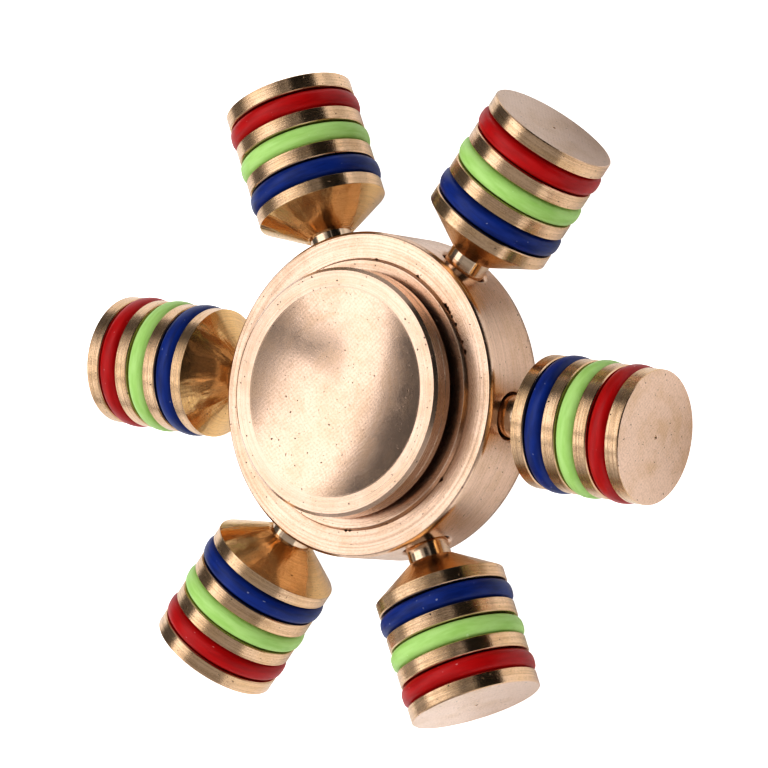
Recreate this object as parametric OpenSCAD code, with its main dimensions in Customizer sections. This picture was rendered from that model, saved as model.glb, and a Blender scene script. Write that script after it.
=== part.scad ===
// Six-arm fidget spinner in turned brass.
//
// A ring-shaped hub turns on a 608-size ball bearing between two finger caps.
// Six polished pins stand out of the hub, 60 degrees apart. Each holds a
// mushroom-shaped weight, which carries three rubber rings: blue, green and
// red, from the hub outwards.
//
// Origin: middle of the bearing, on the spin axis. +Z runs along the spin axis
// to the front cap, and +X runs along arm 1. Arms are numbered anticlockwise
// as seen from +Z. All sizes are in millimetres.

/* [Hub] */
// Outer diameter of the hub ring
hub_d = 30.1; // [29:0.1:31]
// Width of the hub ring along the spin axis
hub_w = 7.6; // [7.2:0.1:7.8]
// Chamfer on the hub's outer edges
hub_chamfer = 0.25; // [0.1:0.05:0.5]

/* [Lock rings] */
// Outer diameter of the rings that hold the bearing in the hub
lock_d = 25; // [24.6:0.1:25.4]
// How far a lock ring stands proud of the hub's face
lock_rise = 0.45; // [0.3:0.05:0.5]
// Bevel on the raised outer edge of a lock ring
lock_bevel = 0.15; // [0.1:0.05:0.25]

/* [Bearing] */
// Outside diameter of the bearing
bearing_d = 22; // [21.9:0.1:22.1]
// Bore of the bearing
bearing_bore = 8; // [7.9:0.1:8.1]
// Width of the bearing
bearing_w = 7; // [6.9:0.1:7]
// Diameter of one ball
ball_d = 3.97; // [3.9:0.01:4]
// Number of balls
ball_count = 7; // [6:1:8]

/* [Finger caps] */
// Diameter of a finger cap
cap_d = 22.9; // [22:0.1:23.6]
// Thickness of the whole spinner over both caps
overall_w = 14.6; // [14.4:0.1:15]
// Height of a cap's cylindrical side
cap_side = 1.9; // [1.6:0.1:2.2]
// Chamfer round a cap's face
cap_chamfer = 0.3; // [0.1:0.05:0.5]
// Diameter of the hollow for the fingertip
dish_d = 19.3; // [17:0.1:20]
// Depth of the hollow for the fingertip
dish_depth = 1.2; // [0.6:0.1:1.5]

/* [Arm weights] */
// Distance from the spin axis to an arm's end face
arm_reach = 30.5; // [30.2:0.1:32]
// Diameter of a weight's bands
weight_d = 12.2; // [11:0.1:12.8]
// Diameter of the polished pin that joins a weight to the hub
pin_d = 4; // [3.6:0.1:4]
// Distance from the spin axis to the small end of the cone
cone_start = 16.4; // [16:0.1:17]
// Diameter of the cone's small end
cone_small_d = 4.6; // [4.5:0.1:6]
// Distance from the spin axis to the large end of the cone
cone_end = 19; // [18.6:0.1:19.2]
// Chamfer on the edges of a band
band_chamfer = 0.1; // [0.05:0.05:0.2]

/* [Rubber rings] */
// Distance from the spin axis to the first groove
first_groove = 20.25; // [20:0.05:20.4]
// Distance from one groove to the next
groove_pitch = 3.4; // [3.3:0.1:3.5]
// Width of a groove
groove_w = 2; // [2:0.1:2.3]
// Thickness of a rubber ring's round section
ring_section = 1.9; // [1.7:0.1:1.9]
// How far a rubber ring stands proud of the bands
ring_proud = 0.2; // [0.1:0.05:0.3]

/* [Hidden] */
$fn = 96;
ARMS = [1 : 6];
ARM_STEP = 60;
FRONT = 1;
BACK = -1;
RINGS = [["blue_ring_", "#152a78"], ["green_ring_", "#93cf66"], ["red_ring_", "#a81318"]];
BRASS = "#d0a670";
STEEL = "#b4b6b8";

// Room left between pieces that turn past each other, and in a screwed joint
running_gap = 0.05;
thread_gap = 0.02;
// How far a cut runs past the face that it opens
over = 1;

// Lock ring: an L-shaped section round the bearing's outer edge
lock_top = hub_w / 2 + lock_rise;
lock_seat = 2.6;
lock_lip_d = 20.8;

// Bearing
ball_r = ball_d / 2;
pitch_r = (bearing_bore + bearing_d) / 4;
race_groove_r = ball_r + running_gap;
inner_race_r = 6.05;
outer_race_r = 9.1;
shield_seat_r = 9.4;
shield_bore_r = 6.3;
shield_t = 0.3;
shield_in = 0.2;
race_chamfer = 0.3;
cage_bottom = -2.6;
cage_top = 1;
cage_inner_r = 6.5;
cage_outer_r = 8.5;

// Finger caps
cap_top = overall_w / 2;
cap_under = cap_top - cap_chamfer - cap_side;
boss_r = 5.5;
spigot_r = bearing_bore / 2 - thread_gap;
screw_r = 2.5;
screw_end = 2.4;
screw_tip = screw_end - 0.3;
front_spigot_end = -2.9;
back_spigot_end = -3.1;
dish_r = (pow(dish_d / 2, 2) + pow(dish_depth, 2)) / (2 * dish_depth);

// Arms, as distances from the spin axis
pin_r = pin_d / 2;
pin_start = 11.6;
pin_end = 21;
pin_chamfer = 0.2;
mouth_start = 13.6;
mouth_r = pin_r + 0.15;
mouth_flare = 0.4;
weight_r = weight_d / 2;
ring_out_r = weight_r + ring_proud;
ring_mid_r = ring_out_r - ring_section / 2;
groove_floor_r = ring_out_r - ring_section;
centre_mark_r = 0.4;
centre_mark_depth = 0.3;

NODES = concat(
    ["hub_ring", "bearing_lock_ring_front", "bearing_lock_ring_back",
     "bearing_outer_race", "bearing_inner_race", "bearing_balls", "bearing_cage",
     "bearing_shield_front", "bearing_shield_back", "front_cap", "back_cap"],
    [for (i = ARMS) str("arm_pin_", i)],
    [for (i = ARMS) str("arm_weight_", i)],
    [for (kind = RINGS, i = ARMS) str(kind[0], i)]
);
node = "all";

// True for the piece that is being drawn
function wanted(name) = node == "all" || node == name;

// Distance from the spin axis to the middle of groove k, counted from 0
function groove_mid(k) = first_groove + groove_w / 2 + k * groove_pitch;

// Turns a front piece into the back one
module on_side(side) {
    mirror([0, 0, side == FRONT ? 0 : 1]) children();
}

// Stands a shape that is drawn round Z along arm i
module along_arm(i) {
    rotate([0, 0, (i - 1) * ARM_STEP]) rotate([0, 90, 0]) children();
}

// Ring round Z between two heights
module washer(outer_r, inner_r, z0, z1) {
    rotate_extrude()
        polygon([[inner_r, z0], [outer_r, z0], [outer_r, z1], [inner_r, z1]]);
}

// Hole for one arm's pin, with a clearance mouth and a countersunk edge
module pin_hole() {
    cylinder(r = pin_r + thread_gap, h = mouth_start + over);
    translate([0, 0, mouth_start]) cylinder(r = mouth_r, h = hub_d);
    translate([0, 0, hub_d / 2 - mouth_flare])
        cylinder(r1 = mouth_r, r2 = mouth_r + 2 * mouth_flare, h = 2 * mouth_flare);
}

// Turned ring: bearing seat in the middle, a lock-ring seat in each face and
// six radial pin holes, which stop short of the bearing seat
module hub_ring() {
    r = hub_d / 2;
    h = hub_w / 2;
    seat_r = bearing_d / 2 + thread_gap;
    lock_r = lock_d / 2 + thread_gap;
    color(BRASS) difference() {
        rotate_extrude()
            polygon([
                [seat_r, -lock_seat], [lock_r, -lock_seat], [lock_r, -h],
                [r - hub_chamfer, -h], [r, -h + hub_chamfer],
                [r, h - hub_chamfer], [r - hub_chamfer, h],
                [lock_r, h], [lock_r, lock_seat], [seat_r, lock_seat]
            ]);
        difference() {
            for (i = ARMS) along_arm(i) pin_hole();
            cylinder(r = pin_start, h = hub_w, center = true);
        }
    }
}

// Screwed ring that clamps the bearing's outer race in the hub
module bearing_lock_ring(side) {
    r = lock_d / 2;
    lip_r = lock_lip_d / 2;
    seat_r = bearing_d / 2 + thread_gap;
    race_face = bearing_w / 2;
    color(BRASS) on_side(side) rotate_extrude()
        polygon([
            [seat_r, lock_seat], [r, lock_seat], [r, hub_w / 2],
            [r - lock_bevel, lock_top], [lip_r, lock_top],
            [lip_r, race_face], [seat_r, race_face]
        ]);
}

// Torus that the balls roll in
module ball_track() {
    rotate_extrude() translate([pitch_r, 0]) circle(r = race_groove_r);
}

module bearing_outer_race() {
    r = bearing_d / 2;
    h = bearing_w / 2;
    seat = h - shield_in - shield_t;
    color(STEEL) difference() {
        rotate_extrude()
            polygon([
                [shield_seat_r, -h], [r - race_chamfer, -h], [r, -h + race_chamfer],
                [r, h - race_chamfer], [r - race_chamfer, h], [shield_seat_r, h],
                [shield_seat_r, seat], [outer_race_r, seat],
                [outer_race_r, -seat], [shield_seat_r, -seat]
            ]);
        ball_track();
    }
}

module bearing_inner_race() {
    bore_r = bearing_bore / 2;
    h = bearing_w / 2;
    color(STEEL) difference() {
        rotate_extrude()
            polygon([
                [bore_r, -h + race_chamfer], [bore_r + race_chamfer, -h],
                [inner_race_r, -h], [inner_race_r, h],
                [bore_r + race_chamfer, h], [bore_r, h - race_chamfer]
            ]);
        ball_track();
    }
}

// One shape at each ball's place
module at_balls() {
    for (i = [0 : ball_count - 1])
        rotate([0, 0, i * 360 / ball_count]) translate([pitch_r, 0, 0]) children();
}

module bearing_balls() {
    color("silver") at_balls() sphere(r = ball_r);
}

// Crown cage: a ring behind the balls with fingers between them
module bearing_cage() {
    color("dimgray") difference() {
        washer(cage_outer_r, cage_inner_r, cage_bottom, cage_top);
        at_balls() sphere(r = ball_r + running_gap);
    }
}

module bearing_shield(side) {
    top = bearing_w / 2 - shield_in;
    color(STEEL) on_side(side)
        washer(shield_seat_r, shield_bore_r, top - shield_t, top);
}

// Finger cap: dished head, a boss that stops on the inner race, and a spigot
// in the bearing's bore. The profile is closed down the spin axis.
module cap_body(spigot_end) {
    r = cap_d / 2;
    race_face = bearing_w / 2;
    difference() {
        rotate_extrude()
            polygon([
                [0, spigot_end], [spigot_r, spigot_end], [spigot_r, race_face],
                [boss_r, race_face], [boss_r, cap_under], [r, cap_under],
                [r, cap_top - cap_chamfer], [r - cap_chamfer, cap_top], [0, cap_top]
            ]);
        translate([0, 0, cap_top - dish_depth + dish_r]) sphere(r = dish_r, $fn = 360);
    }
}

// The front cap's spigot fills most of the bore and is tapped for the screw
module front_cap() {
    color(BRASS) difference() {
        cap_body(front_spigot_end);
        translate([0, 0, front_spigot_end - over])
            cylinder(r = screw_r + thread_gap, h = screw_end - front_spigot_end + over);
    }
}

// The back cap's spigot is a short shoulder with a screw that enters the front cap
module back_cap() {
    color(BRASS) union() {
        on_side(BACK) cap_body(-back_spigot_end);
        translate([0, 0, back_spigot_end - over])
            cylinder(r = screw_r, h = screw_tip - back_spigot_end + over);
    }
}

// Polished pin, held in the hub at one end and in the weight at the other
module arm_pin(i) {
    color(BRASS) along_arm(i) rotate_extrude()
        polygon([
            [0, pin_start], [pin_r - pin_chamfer, pin_start],
            [pin_r, pin_start + pin_chamfer], [pin_r, pin_end - pin_chamfer],
            [pin_r - pin_chamfer, pin_end], [0, pin_end]
        ]);
}

// One turned piece: cone and four bands with a groove between each pair
module arm_weight(i) {
    color(BRASS) along_arm(i) difference() {
        rotate_extrude()
            polygon([
                [0, cone_start], [cone_small_d / 2, cone_start], [weight_r, cone_end],
                [weight_r, arm_reach - band_chamfer],
                [weight_r - band_chamfer, arm_reach], [0, arm_reach]
            ]);
        cylinder(r = pin_r + thread_gap, h = pin_end + thread_gap);
        for (k = [0 : len(RINGS) - 1]) ring_groove(k);
        translate([0, 0, arm_reach - centre_mark_depth])
            cylinder(r1 = 0, r2 = centre_mark_r, h = centre_mark_depth);
    }
}

// Groove k of a weight, with a chamfer on both of its edges
module ring_groove(k) {
    mid = groove_mid(k);
    half = groove_w / 2;
    edge = half + band_chamfer;
    lip = weight_r - band_chamfer;
    rotate_extrude()
        polygon([
            [groove_floor_r, mid - half], [lip, mid - half], [weight_r, mid - edge],
            [weight_r + over, mid - edge], [weight_r + over, mid + edge],
            [weight_r, mid + edge], [lip, mid + half], [groove_floor_r, mid + half]
        ]);
}

// Rubber ring in groove k of arm i
module rubber_ring(k, i) {
    color(RINGS[k][1]) along_arm(i)
        rotate_extrude() translate([ring_mid_r, groove_mid(k)])
            circle(d = ring_section);
}

if (wanted("hub_ring")) hub_ring();
if (wanted("bearing_lock_ring_front")) bearing_lock_ring(FRONT);
if (wanted("bearing_lock_ring_back")) bearing_lock_ring(BACK);
if (wanted("bearing_outer_race")) bearing_outer_race();
if (wanted("bearing_inner_race")) bearing_inner_race();
if (wanted("bearing_balls")) bearing_balls();
if (wanted("bearing_cage")) bearing_cage();
if (wanted("bearing_shield_front")) bearing_shield(FRONT);
if (wanted("bearing_shield_back")) bearing_shield(BACK);
if (wanted("front_cap")) front_cap();
if (wanted("back_cap")) back_cap();
for (i = ARMS) if (wanted(str("arm_pin_", i))) arm_pin(i);
for (i = ARMS) if (wanted(str("arm_weight_", i))) arm_weight(i);
for (k = [0 : len(RINGS) - 1], i = ARMS) if (wanted(str(RINGS[k][0], i))) rubber_ring(k, i);
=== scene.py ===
"""Looks for the six-arm brass fidget spinner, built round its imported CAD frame.

Turned pieces are lathed from rounded outlines, in millimetres, about their own
Z axis. MM turns millimetres into Blender's metres.
"""

import math
import random

import bmesh
import bpy
from mathutils import Matrix, Vector


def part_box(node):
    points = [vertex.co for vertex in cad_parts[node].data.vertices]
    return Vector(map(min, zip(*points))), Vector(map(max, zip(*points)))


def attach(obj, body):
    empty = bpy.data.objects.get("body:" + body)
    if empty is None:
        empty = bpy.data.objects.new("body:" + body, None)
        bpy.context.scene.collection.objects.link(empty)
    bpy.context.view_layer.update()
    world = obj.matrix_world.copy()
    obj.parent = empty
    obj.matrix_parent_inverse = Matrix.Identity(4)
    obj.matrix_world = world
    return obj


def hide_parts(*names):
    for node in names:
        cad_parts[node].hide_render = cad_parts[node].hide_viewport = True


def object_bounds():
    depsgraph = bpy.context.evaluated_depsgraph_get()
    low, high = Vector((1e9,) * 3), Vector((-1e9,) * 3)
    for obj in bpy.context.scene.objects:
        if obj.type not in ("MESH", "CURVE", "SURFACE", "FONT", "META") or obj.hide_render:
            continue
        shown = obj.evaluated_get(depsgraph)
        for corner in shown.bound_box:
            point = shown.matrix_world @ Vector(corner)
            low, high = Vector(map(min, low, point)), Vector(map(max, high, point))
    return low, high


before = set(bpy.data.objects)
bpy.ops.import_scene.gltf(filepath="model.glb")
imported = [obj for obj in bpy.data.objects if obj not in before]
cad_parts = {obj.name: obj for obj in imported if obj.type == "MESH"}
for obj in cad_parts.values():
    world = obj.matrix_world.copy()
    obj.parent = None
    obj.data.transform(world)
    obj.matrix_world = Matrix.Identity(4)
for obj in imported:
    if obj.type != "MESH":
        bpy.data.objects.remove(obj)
cad_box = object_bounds()

MM = 0.001
ARMS = range(1, 7)
ARM_STEP = math.radians(60)
RING_KINDS = ("blue", "green", "red")


# ---------------------------------------------------------------- camera

LENS = 218.3
CAMERA_DISTANCE = 431 * MM
CAMERA_AZIMUTH = math.radians(1.5)
CAMERA_ELEVATION = math.radians(54.0)
CAMERA_ROLL = math.radians(83.57)
CAMERA_AIM = Vector((0.12, 1.22, -0.11)) * MM
CAMERA_NEAR = 10 * MM
CAMERA_FAR = 20


def add_camera():
    """Long-lens camera, aimed just beside the middle of the hub."""
    flat = math.cos(CAMERA_ELEVATION)
    back = Vector((flat * math.cos(CAMERA_AZIMUTH), flat * math.sin(CAMERA_AZIMUTH),
                   math.sin(CAMERA_ELEVATION)))
    level = Vector((-math.sin(CAMERA_AZIMUTH), math.cos(CAMERA_AZIMUTH), 0))
    upright = back.cross(level)
    right = level * math.cos(CAMERA_ROLL) - upright * math.sin(CAMERA_ROLL)
    up = level * math.sin(CAMERA_ROLL) + upright * math.cos(CAMERA_ROLL)
    data = bpy.data.cameras.new("camera")
    data.lens = LENS
    data.clip_start = CAMERA_NEAR
    data.clip_end = CAMERA_FAR
    camera = bpy.data.objects.new("camera", data)
    bpy.context.scene.collection.objects.link(camera)
    camera.matrix_world = (Matrix.Translation(CAMERA_AIM + back * CAMERA_DISTANCE)
                           @ Matrix((right, up, back)).transposed().to_4x4())
    bpy.context.scene.camera = camera


add_camera()


# ---------------------------------------------------------------- sizes

def size(node, corner, axis):
    """One coordinate of a CAD node's box, in mm: corner 0 is the lowest, 1 the highest."""
    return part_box(node)[corner][axis] / MM


# In mm. What no box can give repeats the design's own value.
HUB_R = size("hub_ring", 1, 0)
HUB_H = size("hub_ring", 1, 2)
HUB_CHAMFER = 0.25
BEARING_R = size("bearing_outer_race", 1, 0)
RACE_FACE = size("bearing_outer_race", 1, 2)
LOCK_R = size("bearing_lock_ring_front", 1, 0)
LOCK_TOP = size("bearing_lock_ring_front", 1, 2)
LOCK_SEAT = size("bearing_lock_ring_front", 0, 2)
LOCK_LIP_R = 10.4
LOCK_BEVEL = 0.15
CAP_R = size("front_cap", 1, 0)
CAP_TOP = size("front_cap", 1, 2)
CAP_CHAMFER = 0.3
CAP_SIDE = 1.9
CAP_UNDER = CAP_TOP - CAP_CHAMFER - CAP_SIDE
CAP_LINE_AT = CAP_UNDER + 0.78
CAP_LINE_HALF = 0.06
CAP_LINE_DEPTH = 0.05
DISH_R = 9.65
DISH_DEPTH = 1.2
DISH_INNER_R = DISH_R - 0.5
BOSS_R = 5.5
SPIGOT_R = 3.98
SCREW_R = 2.5
SCREW_END = 2.4
FRONT_SPIGOT_END = size("front_cap", 0, 2)
BACK_SPIGOT_END = -3.1
PIN_START = size("arm_pin_1", 0, 0)
PIN_END = size("arm_pin_1", 1, 0)
PIN_R = size("arm_pin_1", 1, 2)
PIN_CHAMFER = 0.2
CONE_START = size("arm_weight_1", 0, 0)
ARM_REACH = size("arm_weight_1", 1, 0)
WEIGHT_R = size("arm_weight_1", 1, 2)
CONE_SMALL_R = 2.3
CONE_END = 19.0
CENTRE_MARK_R = 0.2
CENTRE_MARK_DEPTH = 0.3
GROOVE_SLACK = 0.05
BAND_CHAMFER = 0.1
MOUTH_START = 13.6
MOUTH_R = PIN_R + 0.15
MOUTH_FLARE = 0.4
MOUTH_HOLD = 0.1
GAP = 0.02
EASE = 0.04


# ---------------------------------------------------------------- mesh tools

FILLET_SHARE = 0.45
ON_AXIS = 1e-6
MERGE_DISTANCE = 1e-8


def rounded(outline, closed=True, steps=4, hold=0.04):
    """Rounds the corners of an outline of (r, z, fillet radius) points.

    A fillet takes at most FILLET_SHARE of each side. A support point each side of it
    keeps the flats flat when shaded.
    """
    points = []
    count = len(outline)
    for i, (r, z, fillet) in enumerate(outline):
        corner = Vector((r, z))
        if fillet == 0 or (not closed and i in (0, count - 1)):
            points.append(corner)
            continue
        before = Vector(outline[i - 1][:2]) - corner
        after = Vector(outline[(i + 1) % count][:2]) - corner
        half = before.angle(after) / 2
        run = min(fillet / math.tan(half), before.length * FILLET_SHARE, after.length * FILLET_SHARE)
        fillet = run * math.tan(half)
        before.normalize()
        after.normalize()
        centre = corner + (before + after).normalized() * (fillet / math.sin(half))
        start = corner + before * run - centre
        sweep = start.angle_signed(corner + after * run - centre)
        points.append(corner + before * (run + hold))
        for k in range(steps + 1):
            points.append(centre + Matrix.Rotation(-sweep * k / steps, 2) @ start)
        points.append(corner + after * (run + hold))
    return points


def lathe(name, points, closed=True, segments=192):
    """Mesh made by turning an outline of (r, z) points, in mm, about Z."""
    verts, rows, faces = [], [], []
    for r, z in points:
        if r < ON_AXIS:
            rows.append([len(verts)] * segments)
            verts.append((0, 0, z * MM))
            continue
        rows.append(range(len(verts), len(verts) + segments))
        for k in range(segments):
            turn = 2 * math.pi * k / segments
            verts.append((r * math.cos(turn) * MM, r * math.sin(turn) * MM, z * MM))
    pairs = list(zip(rows, rows[1:]))
    if closed:
        pairs.append((rows[-1], rows[0]))
    for low, high in pairs:
        for k in range(segments):
            n = (k + 1) % segments
            corners = [low[k], low[n], high[n], high[k]]
            faces.append(list(dict.fromkeys(corners)))
    return finish_mesh(name, verts, faces)


def add_rows(verts, faces, rows):
    """Adds closed rings of points to a mesh, and joins each ring to the next with quads."""
    base, count = len(verts), len(rows[0])
    for ring in rows:
        verts += ring
    for row in range(len(rows) - 1):
        low = base + row * count
        high = low + count
        for k in range(count):
            n = (k + 1) % count
            faces.append([low + k, low + n, high + n, high + k])


def finish_mesh(name, verts, faces):
    """Smooth-shaded mesh with its normals turned outwards."""
    mesh = bpy.data.meshes.new(name)
    mesh.from_pydata(verts, [], faces)
    mesh.update()
    work = bmesh.new()
    work.from_mesh(mesh)
    bmesh.ops.remove_doubles(work, verts=work.verts, dist=MERGE_DISTANCE)
    bmesh.ops.recalc_face_normals(work, faces=work.faces)
    work.to_mesh(mesh)
    work.free()
    mesh.shade_smooth()
    return mesh


def add_piece(name, mesh, material, node, body, place=None):
    """Adds a finished piece that stands for one CAD node and rides on its body."""
    piece = bpy.data.objects.new(name, mesh)
    bpy.context.scene.collection.objects.link(piece)
    if place:
        piece.matrix_world = place
    mesh.materials.clear()
    mesh.materials.append(material)
    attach(piece, body)
    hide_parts(node)


def arm_place(i):
    """Places a piece that is turned about Z along arm i."""
    return Matrix.Rotation((i - 1) * ARM_STEP, 4, "Z") @ Matrix.Rotation(math.pi / 2, 4, "Y")


# ---------------------------------------------------------------- materials

BRASS_BRIGHT = (0.82, 0.588, 0.452, 1)
BRASS_DULL = (0.66, 0.42, 0.24, 1)
BRASS_DARK = (0.38, 0.22, 0.12, 1)
BRASS_GOLD = (0.86, 0.56, 0.26, 1)
PIT_COLOUR = (0.05, 0.03, 0.02, 1)
BAND_GOLD = 0.4
FINE_SCORE = 0.3
FINE_POLISH = 0.06
RUBBER_SHINE = 0.28
# Heights of relief, in mm.
FINE_DEPTH = 0.003
PIT_DEPTH = 0.02
FACET_DEPTH = 0.08
# A quarter turn, which stretches highlights across the tool marks.
ACROSS_MARKS = 0.25
# How far apart the pieces' patterns are taken, and the least radius that is divided by.
SEED_SPREAD = 90.0
SMALLEST_RADIUS = 0.05
# Which inputs of a Mix node take its two numbers and its two colours.
MIX_NUMBERS = (2, 3)
MIX_COLOURS = (6, 7)


class Nodes:
    """Short calls for building one material's node tree. Its lengths are in mm."""

    def __init__(self, name):
        self.material = bpy.data.materials.new(name)
        self.material.use_nodes = True
        self.tree = self.material.node_tree
        self.shader = self.tree.nodes["Principled BSDF"]

    def feed(self, socket, value):
        """Links a node's output to a socket, or sets the socket to a constant."""
        if isinstance(value, bpy.types.NodeSocket):
            self.tree.links.new(value, socket)
        else:
            socket.default_value = value

    def add(self, kind, **settings):
        node = self.tree.nodes.new(kind)
        for key, value in settings.items():
            setattr(node, key, value)
        return node

    def math(self, operation, a, b=0.0):
        node = self.add("ShaderNodeMath", operation=operation)
        self.feed(node.inputs[0], a)
        self.feed(node.inputs[1], b)
        return node.outputs[0]

    def ramp(self, value, low, high, to_low=0.0, to_high=1.0):
        """Eases from to_low to to_high as the value goes from low to high."""
        node = self.add("ShaderNodeMapRange", interpolation_type="SMOOTHSTEP")
        for socket, setting in zip(node.inputs, (value, low, high, to_low, to_high)):
            self.feed(socket, setting)
        return node.outputs[0]

    def mix(self, factor, a, b):
        """Blends two colours."""
        node = self.add("ShaderNodeMix", data_type="RGBA")
        self.feed(node.inputs["Factor"], factor)
        for socket, colour in zip(MIX_COLOURS, (a, b)):
            self.feed(node.inputs[socket], colour)
        return node.outputs[2]

    def mix_value(self, factor, a, b):
        """Blends two numbers."""
        node = self.add("ShaderNodeMix")
        self.feed(node.inputs["Factor"], factor)
        for socket, number in zip(MIX_NUMBERS, (a, b)):
            self.feed(node.inputs[socket], number)
        return node.outputs[0]

    def noise(self, vector, scale, detail=2.0, roughness=0.5):
        node = self.add("ShaderNodeTexNoise")
        self.feed(node.inputs["Vector"], vector)
        self.feed(node.inputs["Scale"], scale)
        self.feed(node.inputs["Detail"], detail)
        self.feed(node.inputs["Roughness"], roughness)
        return node.outputs["Fac"]

    def bump(self, height, depth, normal=None):
        """Relief, depth mm high, on top of an earlier bump's normal."""
        node = self.add("ShaderNodeBump")
        self.feed(node.inputs["Height"], height)
        self.feed(node.inputs["Distance"], depth * MM)
        if normal:
            self.feed(node.inputs["Normal"], normal)
        return node.outputs[0]

    def place(self):
        """The piece's own coordinates, in mm."""
        coords = self.add("ShaderNodeTexCoord").outputs["Object"]
        scaled = self.add("ShaderNodeVectorMath", operation="SCALE")
        self.feed(scaled.inputs[0], coords)
        scaled.inputs["Scale"].default_value = 1 / MM
        return scaled.outputs[0]

    def seed(self):
        """A number that differs from piece to piece."""
        chance = self.add("ShaderNodeObjectInfo").outputs["Random"]
        return self.math("MULTIPLY", chance, SEED_SPREAD)

    def split(self, point):
        node = self.add("ShaderNodeSeparateXYZ")
        self.feed(node.inputs[0], point)
        return node.outputs

    def radius(self, x, y):
        """Distance from the Z axis."""
        return self.math("SQRT", self.math("ADD", self.math("MULTIPLY", x, x),
                                           self.math("MULTIPLY", y, y)))

    def turned(self, point, around, face, wall):
        """Coordinates that run round the Z axis slowly and across it quickly.

        The last three say how fast they run: per turn, per mm of radius and per mm of height.
        """
        x, y, z = self.split(point)
        radius = self.radius(x, y)
        safe = self.math("MAXIMUM", radius, SMALLEST_RADIUS)
        across = self.math("ADD", self.math("MULTIPLY", radius, face),
                           self.math("MULTIPLY", z, wall))
        join = self.add("ShaderNodeCombineXYZ")
        self.feed(join.inputs[0], self.math("MULTIPLY", self.math("DIVIDE", x, safe), around))
        self.feed(join.inputs[1], self.math("MULTIPLY", self.math("DIVIDE", y, safe), around))
        self.feed(join.inputs[2], self.math("ADD", across, self.seed()))
        return join.outputs[0]

    def zone(self, point, low, high, reach):
        """1 between two heights and within a radius of Z, and 0 elsewhere."""
        x, y, z = self.split(point)
        inside = self.math("MULTIPLY", self.math("GREATER_THAN", z, low),
                           self.math("LESS_THAN", z, high))
        return self.math("MULTIPLY", inside, self.math("LESS_THAN", self.radius(x, y), reach))

    def chatter(self, point, pace=13.0, stray=9.0, share=0.08):
        """Faint crossed ripples in a fine grain, as a ball-nosed tool leaves them.

        The ripples go through pace radians per mm, are bent by up to stray radians and
        make up that share of the height.
        """
        sway = self.math("MULTIPLY", self.noise(point, 0.8, detail=1.0), stray)
        waves = [self.math("SINE", self.math("ADD", self.math("MULTIPLY", axis, pace), sway))
                 for axis in self.split(point)[:2]]
        ripple = self.math("MULTIPLY", waves[0], waves[1])
        grain = self.noise(point, 5.0, detail=4.0, roughness=0.7)
        return self.math("ADD", self.math("MULTIPLY", ripple, share),
                         self.ramp(grain, 0.2, 0.8, to_low=0.36, to_high=0.64))


def tinted(colour, times, plus=0.0):
    """A colour with its three parts multiplied and lifted, up to 1."""
    return [min(1, plus + c * times) for c in colour[:3]] + [1]


def brass(name, roughness, anisotropy, face, wall, depth, score, patchy, fine_zone=None,
          gold_zone=None):
    """Turned brass: tool marks round the axis, faint tarnish and small pits.

    face and wall are the marks per mm on flat and on round surfaces, depth their height
    in mm and score how dark they are. patchy is how dull the tarnish gets. The fine zone
    has a crossed grain instead of marks. The gold zone is smoother and yellower, with long
    facets, and a piece that has one is partly gold outside both zones.
    """
    n = Nodes(name)
    point = n.place()
    marks = n.noise(n.turned(point, 0.8, face, wall), 1.0, detail=4.0, roughness=0.65)
    streaks = n.noise(n.turned(point, 0.5, face * 0.2, wall * 0.2), 1.0, detail=3.0, roughness=0.6)
    cloud = n.noise(point, 0.35, detail=3.0, roughness=0.6)
    grain = n.noise(point, 6.5, detail=3.0, roughness=0.7)
    pits = n.ramp(n.noise(point, 3.4, detail=1.0), 0.72, 0.80)
    fine = n.zone(point, *fine_zone) if fine_zone else 0.0
    gold = n.zone(point, *gold_zone) if gold_zone else 0.0
    smooth = n.math("ADD", fine, gold)
    marks = n.mix_value(fine, marks, n.chatter(point))

    worn = n.math("ADD", n.math("MULTIPLY", cloud, 0.6), n.math("MULTIPLY", streaks, 0.4))
    tone = n.mix(n.ramp(worn, 0.42, 0.66, to_high=patchy), BRASS_BRIGHT, BRASS_DULL)
    if gold_zone:
        part_gold = n.mix_value(fine, BAND_GOLD, 0.0)
        tone = n.mix(n.mix_value(gold, part_gold, 1.0), tone, BRASS_GOLD)
    scored = n.math("ADD", n.math("MULTIPLY", marks, 0.6), n.math("MULTIPLY", grain, 0.4))
    scored = n.ramp(scored, 0.42, 0.62, to_high=n.mix_value(smooth, score, FINE_SCORE))
    tone = n.mix(scored, tone, BRASS_DARK)
    tone = n.mix(pits, tone, PIT_COLOUR)
    n.feed(n.shader.inputs["Base Color"], tone)

    rough = n.math("ADD", n.ramp(marks, 0.3, 0.7, roughness - 0.03, roughness + 0.04),
                   n.ramp(cloud, 0.35, 0.65, -0.02, 0.03))
    rough = n.math("SUBTRACT", rough, n.math("MULTIPLY", smooth, FINE_POLISH))
    n.feed(n.shader.inputs["Roughness"], rough)
    n.shader.inputs["Metallic"].default_value = 1
    n.shader.inputs["Anisotropic"].default_value = anisotropy
    n.shader.inputs["Anisotropic Rotation"].default_value = ACROSS_MARKS
    tangent = n.add("ShaderNodeTangent", direction_type="RADIAL", axis="Z")
    n.feed(n.shader.inputs["Tangent"], tangent.outputs[0])

    calm = n.mix_value(smooth, 1.0, FINE_DEPTH / depth)
    normal = n.bump(n.math("MULTIPLY", marks, calm), depth)
    normal = n.bump(n.math("MULTIPLY", grain, calm), depth * 0.6, normal)
    normal = n.bump(n.math("MULTIPLY", pits, -1.0), PIT_DEPTH, normal)
    if gold_zone:
        facets = n.noise(n.turned(point, 4.0, 0.3, 0.3), 1.0)
        normal = n.bump(n.math("MULTIPLY", facets, gold), FACET_DEPTH, normal)
    n.feed(n.shader.inputs["Normal"], normal)
    return n.material


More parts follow.
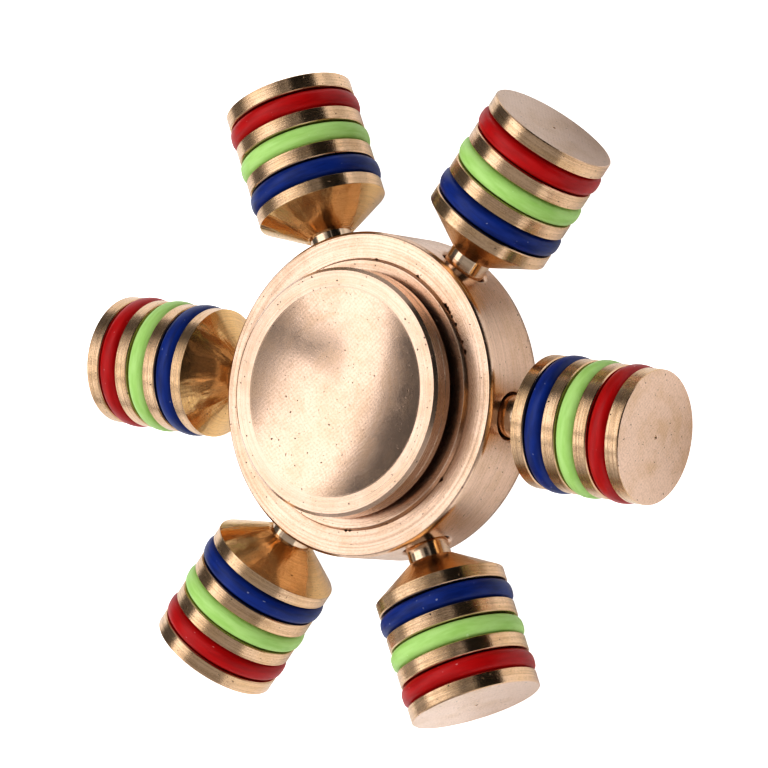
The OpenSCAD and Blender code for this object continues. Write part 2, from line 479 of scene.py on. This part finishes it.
def ground(name, colour, roughness):
    """Ground and polished metal, with fine marks round the axis."""
    n = Nodes(name)
    marks = n.noise(n.turned(n.place(), 1.0, 9.0, 12.0), 1.0, detail=3.0, roughness=0.6)
    tone = n.mix(n.ramp(marks, 0.3, 0.7, to_high=0.4), colour, tinted(colour, 0.6))
    n.feed(n.shader.inputs["Base Color"], tone)
    n.feed(n.shader.inputs["Roughness"], n.ramp(marks, 0.3, 0.7, roughness, roughness + 0.1))
    n.shader.inputs["Metallic"].default_value = 1
    n.feed(n.shader.inputs["Normal"], n.bump(marks, 0.003))
    return n.material


def rubber(name, colour, shade, roughness=0.36):
    """Moulded rubber: faint flow marks, a soft skin and pale specks that are partly lint and partly
    painted glints.
    """
    n = Nodes(name)
    point = n.place()
    flow = n.noise(n.turned(point, 2.0, 1.4, 1.8), 1.0, detail=3.0, roughness=0.55)
    skin = n.noise(point, 14.0, detail=3.0, roughness=0.6)
    # Pale specks: partly lint, partly painted glints that stand in for small highlights on the rubber.
    lint_and_glints = n.noise(n.turned(point, 14.0, 3.0, 4.0), 1.0, detail=0.0)
    tone = n.mix(n.ramp(flow, 0.35, 0.7), colour, shade)
    tone = n.mix(n.ramp(lint_and_glints, 0.82, 0.88, to_high=0.6), tone, tinted(colour, 0.9, plus=0.3))
    n.feed(n.shader.inputs["Base Color"], tone)
    n.feed(n.shader.inputs["Roughness"], n.ramp(skin, 0.3, 0.7, roughness - 0.06, roughness + 0.08))
    n.shader.inputs["Specular IOR Level"].default_value = RUBBER_SHINE
    normal = n.bump(skin, 0.004)
    normal = n.bump(flow, 0.012, normal)
    n.feed(n.shader.inputs["Normal"], normal)
    return n.material


def nylon(name, colour):
    """Moulded nylon with a fine grain in its skin."""
    n = Nodes(name)
    skin = n.noise(n.place(), 8.0, detail=3.0, roughness=0.6)
    n.feed(n.shader.inputs["Base Color"], n.mix(skin, colour, tinted(colour, 1.5)))
    n.feed(n.shader.inputs["Roughness"], n.ramp(skin, 0.3, 0.7, 0.4, 0.6))
    n.feed(n.shader.inputs["Normal"], n.bump(skin, 0.01))
    return n.material


# Each zone is its lowest and highest Z and its radius, in mm, on the piece itself.
DISH_ZONE = (0, CAP_TOP - 0.03, DISH_R)
END_ZONE = (ARM_REACH - 0.05, ARM_REACH + 1, WEIGHT_R)
CONE_ZONE = (0, CONE_END, WEIGHT_R)

hub_brass = brass("hub_brass", roughness=0.22, anisotropy=0.6, face=6.0, wall=20.0,
                  depth=0.003, score=0.45, patchy=0.4)
cap_brass = brass("cap_brass", roughness=0.24, anisotropy=0.4, face=8.0, wall=10.0,
                  depth=0.002, score=0.22, patchy=0.35, fine_zone=DISH_ZONE)
weight_brass = brass("weight_brass", roughness=0.22, anisotropy=0.85, face=3.5, wall=6.5,
                     depth=0.012, score=0.5, patchy=0.6, fine_zone=END_ZONE, gold_zone=CONE_ZONE)
pin_brass = ground("pin_brass", (0.86, 0.64, 0.46, 1), roughness=0.10)
bearing_steel = ground("bearing_steel", (0.62, 0.62, 0.64, 1), roughness=0.22)
shield_steel = ground("shield_steel", (0.55, 0.55, 0.57, 1), roughness=0.3)
ball_steel = ground("ball_steel", (0.8, 0.8, 0.82, 1), roughness=0.06)
cage_nylon = nylon("cage_nylon", (0.02, 0.02, 0.022, 1))
ring_rubber = {
    "blue": rubber("blue_rubber", (0.006, 0.030, 0.22, 1), (0.004, 0.018, 0.13, 1)),
    "green": rubber("green_rubber", (0.50, 0.80, 0.25, 1), (0.40, 0.70, 0.17, 1)),
    "red": rubber("red_rubber", (0.50, 0.004, 0.005, 1), (0.38, 0.003, 0.004, 1)),
}
bearing_finish = {
    "bearing_outer_race": bearing_steel,
    "bearing_inner_race": bearing_steel,
    "bearing_balls": ball_steel,
    "bearing_cage": cage_nylon,
    "bearing_shield_front": shield_steel,
    "bearing_shield_back": shield_steel,
}

for node, material in bearing_finish.items():
    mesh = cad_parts[node].data
    mesh.materials.clear()
    mesh.materials.append(material)
    mesh.shade_smooth()


# ---------------------------------------------------------------- hub

# Quads along and up the sixth of the wall that each arm's hole is in the middle of.
HUB_SPAN = 60
HUB_RISE = 16
# Where the rings round a hole stand: 1 is the border of that sixth, and 0 the hole's edge.
WALL_BLENDS = (1, 0.78, 0.56, 0.36, 0.2, 0.1, 0.03, 0)
HUB_TOP_EDGE = HUB_H - HUB_CHAMFER
HUB_LOCK_R = LOCK_R + GAP
HUB_SEAT_R = BEARING_R + GAP
# The chipped side runs between two angles, in degrees from arm 1. Chips are in mm.
CHIP_SEED = 7
CHIPPED_SIDE = (22, 48)
CHIP_CHANCE = 0.4
CHIP_CHANCE_ELSEWHERE = 0.02
CHIP_SIZES = (0.08, 0.26)
CHIP_DEPTH = 0.1
CHIP_REACH = 0.12


def hub_turn(k):
    """Angle of column k of the hub's mesh. Column 0 is halfway before arm 1."""
    return ARM_STEP * (k / HUB_SPAN - 0.5)


def edge_chips(segments):
    """Small seeded chips along the lock ring's joint, most of them on one side."""
    knock = random.Random(CHIP_SEED)
    first, last = CHIPPED_SIDE
    chips = []
    for k in range(segments):
        likely = CHIP_CHANCE if first < math.degrees(hub_turn(k)) < last else CHIP_CHANCE_ELSEWHERE
        chips.append(knock.uniform(*CHIP_SIZES) if knock.random() < likely else 0)
    return chips


def hub_section_rows():
    """Rings for the turned section, from the wall's top edge round the seats to its bottom edge."""
    section = rounded([
        (HUB_R, HUB_TOP_EDGE, 0), (HUB_R - HUB_CHAMFER, HUB_H, EASE), (HUB_LOCK_R, HUB_H, EASE),
        (HUB_LOCK_R, LOCK_SEAT, 0), (HUB_SEAT_R, LOCK_SEAT, EASE), (HUB_SEAT_R, -LOCK_SEAT, EASE),
        (HUB_LOCK_R, -LOCK_SEAT, 0), (HUB_LOCK_R, -HUB_H, EASE), (HUB_R - HUB_CHAMFER, -HUB_H, EASE),
        (HUB_R, -HUB_TOP_EDGE, 0)], closed=False)
    segments = len(ARMS) * HUB_SPAN
    chips = edge_chips(segments)
    rows = []
    for r, z in section:
        on_joint = z > HUB_H - CHIP_DEPTH and r < HUB_LOCK_R + CHIP_REACH
        ring = []
        for k in range(segments):
            out = r + (chips[k] if on_joint else 0)
            ring.append((out * math.cos(hub_turn(k)) * MM, out * math.sin(hub_turn(k)) * MM, z * MM))
        rows.append(ring)
    return rows


def wall_outline():
    """Points round one sixth of the hub's wall, as (arc length from the hole, height)."""
    half = HUB_R * ARM_STEP / 2
    across = [half * (2 * k / HUB_SPAN - 1) for k in range(HUB_SPAN)]
    upward = [HUB_TOP_EDGE * (2 * k / HUB_RISE - 1) for k in range(HUB_RISE)]
    return ([(s, -HUB_TOP_EDGE) for s in across] + [(half, z) for z in upward]
            + [(-s, HUB_TOP_EDGE) for s in across] + [(-half, -z) for z in upward])


def sink_radius(across):
    """Radius at which the 45-degree countersink meets the wall, very nearly.

    across is how far the direction leans round the wall, from -1 to 1.
    """
    widest = MOUTH_R + MOUTH_FLARE
    return widest - HUB_R + math.sqrt(HUB_R ** 2 - (across * widest) ** 2)


def hole_rows():
    """Rings for arm 1's sixth of the wall, which close in on its hole and go down it."""
    outline = wall_outline()
    leans = [(s / math.hypot(s, z), z / math.hypot(s, z)) for s, z in outline]
    rows = []
    for blend in WALL_BLENDS:
        ring = []
        for (s, z), (across, upward) in zip(outline, leans):
            hole_s = HUB_R * math.asin(across * sink_radius(across) / HUB_R)
            hole_z = upward * sink_radius(across)
            arc = (hole_s + (s - hole_s) * blend) / HUB_R
            height = hole_z + (z - hole_z) * blend
            ring.append(Vector((HUB_R * math.cos(arc), HUB_R * math.sin(arc), height)))
        rows.append(ring)
    for r, x in ((MOUTH_R, HUB_R - MOUTH_FLARE), (MOUTH_R, HUB_R - MOUTH_FLARE - MOUTH_HOLD),
                 (MOUTH_R, MOUTH_START), (PIN_R + GAP, MOUTH_START), (PIN_R + GAP, PIN_START - GAP),
                 (0, PIN_START - GAP)):
        rows.append([Vector((x, across * r, upward * r)) for across, upward in leans])
    return rows


def hub_mesh():
    """The hub ring: a turned section whose wall is opened by six radial holes."""
    verts, faces = [], []
    add_rows(verts, faces, hub_section_rows())
    sixth = hole_rows()
    for i in ARMS:
        spin = Matrix.Rotation((i - 1) * ARM_STEP, 3, "Z")
        add_rows(verts, faces, [[tuple(spin @ point * MM) for point in ring] for ring in sixth])
    return finish_mesh("hub_ring_mesh", verts, faces)


def lock_ring_mesh():
    """L-shaped lock ring, with a bevel on its proud edge."""
    return lathe("lock_ring_mesh", rounded([
        (HUB_SEAT_R, LOCK_SEAT, EASE), (LOCK_R, LOCK_SEAT, EASE), (LOCK_R, HUB_H, 0.02),
        (LOCK_R - LOCK_BEVEL, LOCK_TOP, 0.05), (LOCK_LIP_R, LOCK_TOP, 0.1),
        (LOCK_LIP_R, RACE_FACE, EASE), (HUB_SEAT_R, RACE_FACE, EASE)]), segments=256)


FLIP = Matrix.Rotation(math.pi, 4, "X")

add_piece("hub", hub_mesh(), hub_brass, "hub_ring", "spinner")
for side, place in (("front", None), ("back", FLIP)):
    add_piece(f"lock_ring_{side}", lock_ring_mesh(), hub_brass, f"bearing_lock_ring_{side}",
              "spinner", place)


# ---------------------------------------------------------------- finger caps

DISH_STEPS = 48


def dish_height(r):
    """Height of the cap's round hollow at radius r."""
    sphere = (DISH_R ** 2 + DISH_DEPTH ** 2) / (2 * DISH_DEPTH)
    return CAP_TOP - DISH_DEPTH + sphere - math.sqrt(sphere ** 2 - r ** 2)


def cap_mesh(name, foot):
    """A finger cap's head and spigot. foot is its lower end, from the axis out."""
    outline = rounded(foot + [
        (SPIGOT_R, RACE_FACE, 0), (BOSS_R, RACE_FACE, 0.1), (BOSS_R, CAP_UNDER, 0.1),
        (CAP_R, CAP_UNDER, 0.12), (CAP_R, CAP_LINE_AT - CAP_LINE_HALF, 0.03),
        (CAP_R - CAP_LINE_DEPTH, CAP_LINE_AT, 0.02), (CAP_R, CAP_LINE_AT + CAP_LINE_HALF, 0.03),
        (CAP_R, CAP_TOP - CAP_CHAMFER, 0.03), (CAP_R - CAP_CHAMFER, CAP_TOP, 0.03),
        (DISH_R, CAP_TOP, 0.06), (DISH_INNER_R, dish_height(DISH_INNER_R), 0)], closed=False)
    for k in range(DISH_STEPS - 1, -1, -1):
        r = DISH_INNER_R * k / DISH_STEPS
        outline.append(Vector((r, dish_height(r))))
    return lathe(name, outline, closed=False, segments=288)


tapped = [(0, SCREW_END, 0), (SCREW_R + GAP, SCREW_END, 0), (SCREW_R + GAP, FRONT_SPIGOT_END, 0.1),
          (SPIGOT_R, FRONT_SPIGOT_END, 0.1)]
screw_tip = -size("back_cap", 1, 2)
screwed = [(0, screw_tip, 0), (SCREW_R, screw_tip, 0.2), (SCREW_R, -BACK_SPIGOT_END, 0.05),
           (SPIGOT_R, -BACK_SPIGOT_END, 0.1)]
add_piece("cap_front", cap_mesh("front_cap_mesh", tapped), cap_brass, "front_cap", "caps")
add_piece("cap_back", cap_mesh("back_cap_mesh", screwed), cap_brass, "back_cap", "caps",
          FLIP)


# ---------------------------------------------------------------- arms

RING_SECTION_R = (size("blue_ring_1", 1, 0) - size("blue_ring_1", 0, 0)) / 2
RING_OUT_R = size("blue_ring_1", 1, 2)
RING_MID_R = RING_OUT_R - RING_SECTION_R
GROOVE_R = RING_OUT_R - 2 * RING_SECTION_R
# How a rubber ring departs from a true torus, in mm, and which side its moulding line is on.
RING_INSET = 0.015
RING_LEAN = 0.03
RING_WAVE = 0.01
RING_SWELL = 0.012
RING_SIDES = 28
SEAM_SIDE = 2
SEAM_HEIGHT = 0.02
SQUEEZE = 0.8


def ring_middle(kind):
    """Distance of a rubber ring's middle from the spin axis, in mm."""
    return (size(f"{kind}_ring_1", 0, 0) + size(f"{kind}_ring_1", 1, 0)) / 2


def weight_mesh():
    """Cone and four bands, with a groove for each rubber ring and a bore for the pin."""
    outline = [(0, PIN_END + GAP, 0), (PIN_R + GAP, PIN_END + GAP, 0), (PIN_R + GAP, CONE_START, 0.03),
               (CONE_SMALL_R, CONE_START, 0.06), (WEIGHT_R, CONE_END, 0.05)]
    half = RING_SECTION_R + GROOVE_SLACK
    for kind in RING_KINDS:
        low, high = ring_middle(kind) - half, ring_middle(kind) + half
        outline += [(WEIGHT_R, low - BAND_CHAMFER, 0.02), (WEIGHT_R - BAND_CHAMFER, low, 0.02),
                    (GROOVE_R, low, 0.15), (GROOVE_R, high, 0.15),
                    (WEIGHT_R - BAND_CHAMFER, high, 0.02), (WEIGHT_R, high + BAND_CHAMFER, 0.02)]
    outline += [(WEIGHT_R, ARM_REACH - BAND_CHAMFER, 0.03), (WEIGHT_R - BAND_CHAMFER, ARM_REACH, 0.03),
                (CENTRE_MARK_R, ARM_REACH, 0.02), (0, ARM_REACH - CENTRE_MARK_DEPTH, 0)]
    return lathe("weight_mesh", rounded(outline, closed=False), closed=False, segments=160)


def pin_mesh():
    """Plain dowel with chamfered ends."""
    outline = [(0, PIN_START, 0), (PIN_R - PIN_CHAMFER, PIN_START, EASE),
               (PIN_R, PIN_START + PIN_CHAMFER, EASE), (PIN_R, PIN_END - PIN_CHAMFER, EASE),
               (PIN_R - PIN_CHAMFER, PIN_END, EASE), (0, PIN_END, 0)]
    return lathe("pin_mesh", rounded(outline, closed=False), closed=False, segments=96)


def squeezed(ratio):
    """Makes a round section a little square, as the groove squeezes it."""
    return math.copysign(abs(ratio) ** SQUEEZE, ratio)


def ring_mesh(kind, i):
    """Rubber ring with a moulding line, sitting slightly unevenly in its groove."""
    wobble = random.Random(f"{kind}{i}")
    phases = [wobble.uniform(0, 2 * math.pi) for wave in range(3)]
    segments = 144
    verts, faces = [], []
    middle = ring_middle(kind)
    for k in range(segments):
        turn = 2 * math.pi * k / segments
        sway = RING_LEAN * math.sin(turn + phases[0]) + RING_WAVE * math.sin(3 * turn + phases[1])
        swell = RING_SWELL * math.sin(2 * turn + phases[2])
        for s in range(RING_SIDES):
            angle = 2 * math.pi * s / RING_SIDES
            section = RING_SECTION_R - RING_INSET + swell
            if s == SEAM_SIDE:
                section += SEAM_HEIGHT
            r = RING_MID_R + section * squeezed(math.cos(angle))
            z = middle + sway + section * squeezed(math.sin(angle))
            verts.append((r * math.cos(turn) * MM, r * math.sin(turn) * MM, z * MM))
    for k in range(segments):
        low, high = k * RING_SIDES, (k + 1) % segments * RING_SIDES
        for s in range(RING_SIDES):
            t = (s + 1) % RING_SIDES
            faces.append([low + s, high + s, high + t, low + t])
    return finish_mesh(f"{kind}_ring_mesh_{i}", verts, faces)


for i in ARMS:
    add_piece(f"pin_{i}", pin_mesh(), pin_brass, f"arm_pin_{i}", "spinner",
              arm_place(i))
    add_piece(f"weight_{i}", weight_mesh(), weight_brass, f"arm_weight_{i}", "spinner",
              arm_place(i))
    for kind in RING_KINDS:
        add_piece(f"{kind}_o_ring_{i}", ring_mesh(kind, i), ring_rubber[kind],
                  f"{kind}_ring_{i}", "spinner", arm_place(i))


# ---------------------------------------------------------------- studio

CARD_DISTANCE = 0.6
FLOOR_SIZE = 6
TABLE_SIZE = 1.2
TABLE_DROP = 0.1 * MM
SHADE_X = 14 * MM
SHADE_Y = 38 * MM
SHADE_WIDTH = 36 * MM
SHADE_DEPTH = 24 * MM


def facing(azimuth, elevation, distance=CARD_DISTANCE, roll=0):
    """Matrix of a panel that faces the spinner from that direction, in degrees."""
    a, e = math.radians(azimuth), math.radians(elevation)
    away = Vector((math.cos(e) * math.cos(a), math.cos(e) * math.sin(a), math.sin(e)))
    turned = away.to_track_quat("Z", "Y").to_matrix().to_4x4()
    return (Matrix.Translation(away * distance) @ turned
            @ Matrix.Rotation(math.radians(roll), 4, "Z"))


def softbox(name, azimuth, elevation, width, height, brightness):
    """Plain rectangular light, which looks as bright whatever its size."""
    data = bpy.data.lights.new(name, "AREA")
    data.shape = "RECTANGLE"
    data.size, data.size_y = width, height
    data.energy = brightness * math.pi * width * height
    light = bpy.data.objects.new(name, data)
    bpy.context.scene.collection.objects.link(light)
    light.matrix_world = facing(azimuth, elevation)
    light.visible_camera = False
    return light


def add_panel(name, place, width, height, tone, glow=0.0):
    """Plain matt panel, for the floor and for the cards round the spinner."""
    mesh = bpy.data.meshes.new(name)
    w, h = width / 2, height / 2
    mesh.from_pydata([(-w, -h, 0), (w, -h, 0), (w, h, 0), (-w, h, 0)], [], [(0, 1, 2, 3)])
    n = Nodes(name)
    cloud = n.noise(n.place(), 0.01)
    shade = (tone, tone, tone, 1)
    n.feed(n.shader.inputs["Base Color"], n.mix(cloud, shade, tinted(shade, 0.97)))
    n.shader.inputs["Roughness"].default_value = 0.9
    n.shader.inputs["Specular IOR Level"].default_value = 0
    n.shader.inputs["Emission Color"].default_value = (1, 1, 1, 1)
    n.shader.inputs["Emission Strength"].default_value = glow
    mesh.materials.append(n.material)
    panel = bpy.data.objects.new(name, mesh)
    bpy.context.scene.collection.objects.link(panel)
    panel.matrix_world = place
    return panel


def add_floor():
    """Pale lit floor under the back cap, and the matt table top that the metal reflects."""
    level = cad_box[0][2]
    floor = add_panel("floor", Matrix.Translation((0, 0, level)), FLOOR_SIZE, FLOOR_SIZE,
                      tone=0.9, glow=1.0)
    floor.visible_diffuse = False
    floor.visible_glossy = False
    floor.visible_shadow = False
    table = add_panel("table", Matrix.Translation((0, 0, level - TABLE_DROP)), TABLE_SIZE, TABLE_SIZE,
                      tone=0.85, glow=0.2)
    table.visible_camera = False
    shade = add_panel("table_shade", Matrix.Translation((SHADE_X, SHADE_Y, level)), SHADE_WIDTH,
                      SHADE_DEPTH, tone=0.75)
    shade.visible_camera = False


def card(name, azimuth, elevation, width, height, tone, distance=CARD_DISTANCE, roll=0):
    """Matt card that shows only in reflections."""
    panel = add_panel(name, facing(azimuth, elevation, distance, roll), width, height, tone)
    panel.visible_camera = False


def add_world(brightness):
    """Even white light from all round."""
    world = bpy.data.worlds.new("studio")
    bpy.context.scene.world = world
    world.use_nodes = True
    background = world.node_tree.nodes["Background"]
    background.inputs["Color"].default_value = (1, 1, 1, 1)
    background.inputs["Strength"].default_value = brightness


# Angles are in degrees round the spinner and above its plane, lengths in metres.
add_floor()
add_world(0.35)
softbox("key_softbox", azimuth=160, elevation=58.5, width=0.9, height=0.35, brightness=1.18)
softbox("left_softbox", azimuth=-140, elevation=22, width=0.20, height=0.42, brightness=0.95)
softbox("low_softbox", azimuth=-45, elevation=10, width=0.30, height=0.22, brightness=0.65)
overhead = softbox("overhead_fill", azimuth=0, elevation=89, width=0.5, height=0.5, brightness=2.5)
overhead.visible_glossy = False
card("gap_card", azimuth=-152, elevation=67, width=0.27, height=0.055, tone=0.4, distance=0.5,
     roll=57)
card("camera_side_card", azimuth=32, elevation=22, width=1.2, height=0.58, tone=0.02)
card("narrow_card", azimuth=64, elevation=62, width=0.14, height=0.3, tone=0.02)
card("low_card", azimuth=156, elevation=19, width=0.8, height=0.55, tone=0.15, distance=0.55)
bpy.context.scene.view_settings.view_transform = "Standard"
bpy.context.scene.view_settings.look = "Medium High Contrast"
